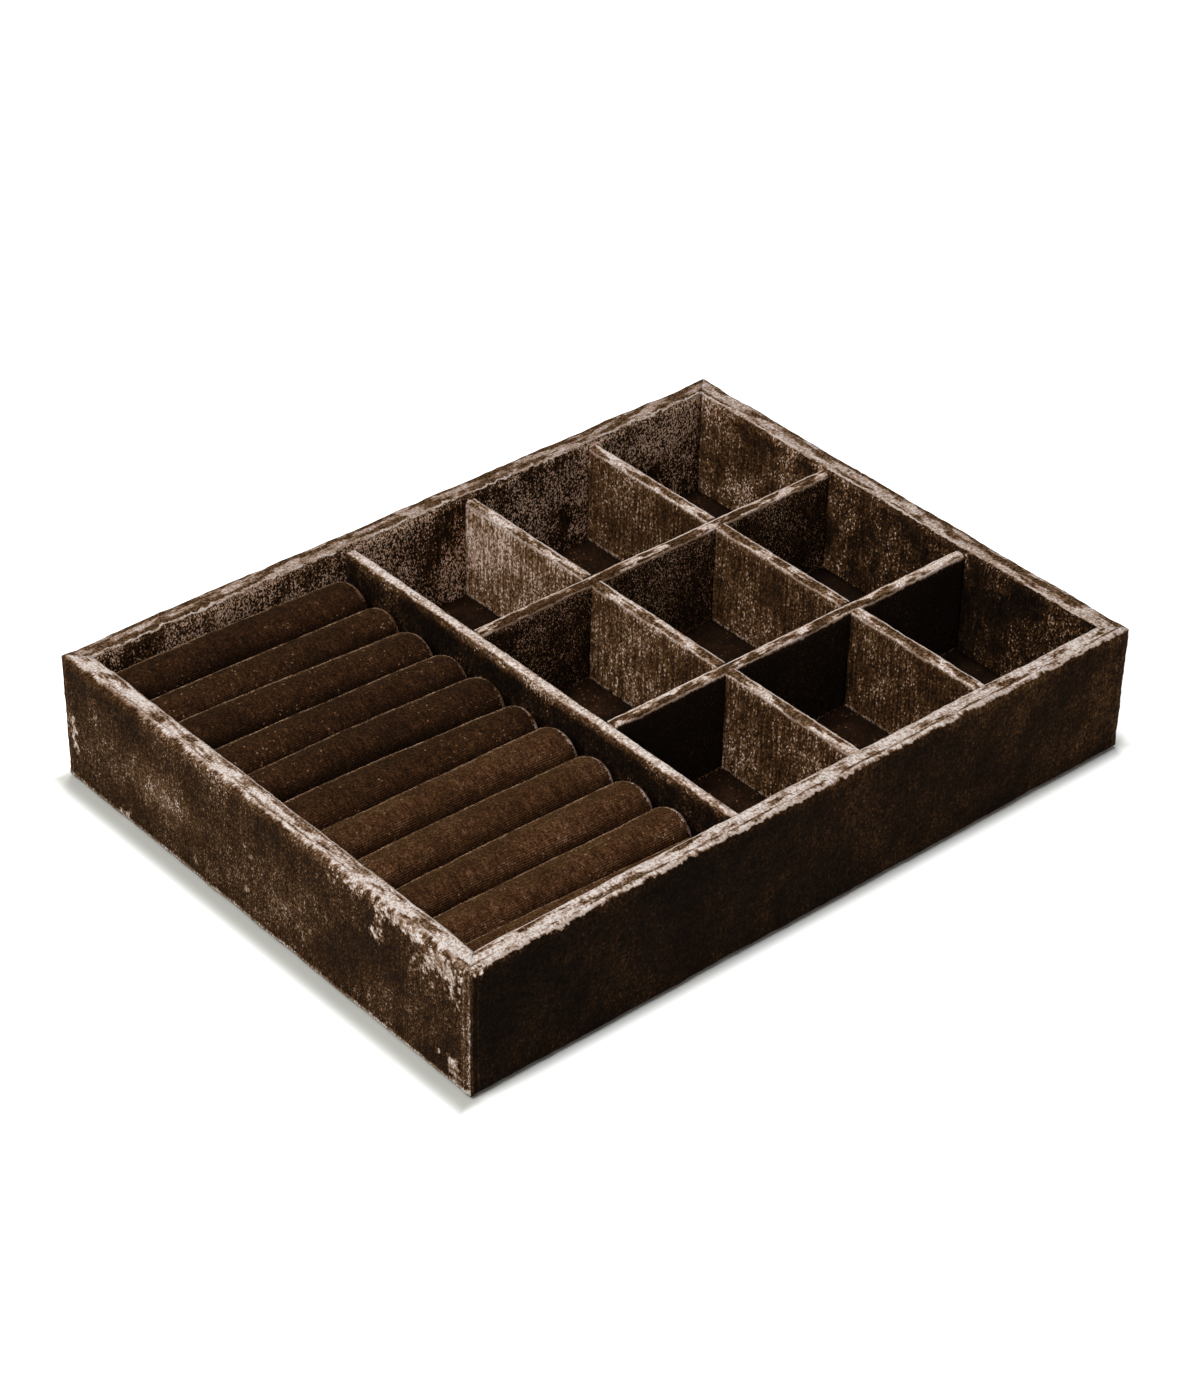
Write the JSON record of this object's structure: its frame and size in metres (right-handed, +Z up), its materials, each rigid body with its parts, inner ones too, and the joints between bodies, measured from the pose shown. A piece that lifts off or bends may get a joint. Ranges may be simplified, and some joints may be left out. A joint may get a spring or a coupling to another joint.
{
  "type": "jewelry tray",
  "caption": "Velvet-wrapped open jewelry tray with a lift-out insert of padded ring rolls and a grid of square-cornered compartments.",
  "frame": {"origin": "middle of the underside, on the surface that the tray stands on", "axes": "+X along the length, from the ring rolls to the compartments; -Y the front; +Z up"},
  "size_m": [0.3, 0.225, 0.0525],
  "materials": {
    "crushed_velvet": "crushed pile",
    "plain_velvet": "short even pile",
    "felt": "matte felt",
    "foam": "open-cell foam",
    "greyboard": "raw",
    "fibreboard": "raw fibreboard"
  },
  "bodies": {
    "tray": {"underside_felt": "felt", "base_board": "fibreboard", "front_wall_board": "fibreboard", "back_wall_board": "fibreboard", "left_wall_board": "fibreboard", "right_wall_board": "fibreboard", "front_wall_velvet": "crushed_velvet", "back_wall_velvet": "crushed_velvet", "left_wall_velvet": "crushed_velvet", "right_wall_velvet": "crushed_velvet", "floor_card": "greyboard", "floor_velvet": "plain_velvet", "main_divider_board": "fibreboard", "main_divider_velvet": "crushed_velvet", "short_divider_left_board": "fibreboard", "short_divider_left_velvet": "crushed_velvet", "short_divider_right_board": "fibreboard", "short_divider_right_velvet": "crushed_velvet", "long_divider_back_board": "fibreboard", "long_divider_back_velvet": "crushed_velvet", "long_divider_front_board": "fibreboard", "long_divider_front_velvet": "crushed_velvet"},
    "ring_insert": {"ring_insert_card": "greyboard", "ring_roll_01_foam": "foam", "ring_roll_01_velvet": "plain_velvet", "ring_roll_02_foam": "foam", "ring_roll_02_velvet": "plain_velvet", "ring_roll_03_foam": "foam", "ring_roll_03_velvet": "plain_velvet", "ring_roll_04_foam": "foam", "ring_roll_04_velvet": "plain_velvet", "ring_roll_05_foam": "foam", "ring_roll_05_velvet": "plain_velvet", "ring_roll_06_foam": "foam", "ring_roll_06_velvet": "plain_velvet", "ring_roll_07_foam": "foam", "ring_roll_07_velvet": "plain_velvet", "ring_roll_08_foam": "foam", "ring_roll_08_velvet": "plain_velvet", "ring_roll_09_foam": "foam", "ring_roll_09_velvet": "plain_velvet", "ring_roll_10_foam": "foam", "ring_roll_10_velvet": "plain_velvet", "ring_roll_11_foam": "foam", "ring_roll_11_velvet": "plain_velvet"}
  },
  "joints": [
    {"name": "ring_insert_lift", "type": "slide", "parent": "tray", "child": "ring_insert", "axis": [0, 0, 1], "range_m": [0, 0.055]}
  ]
}
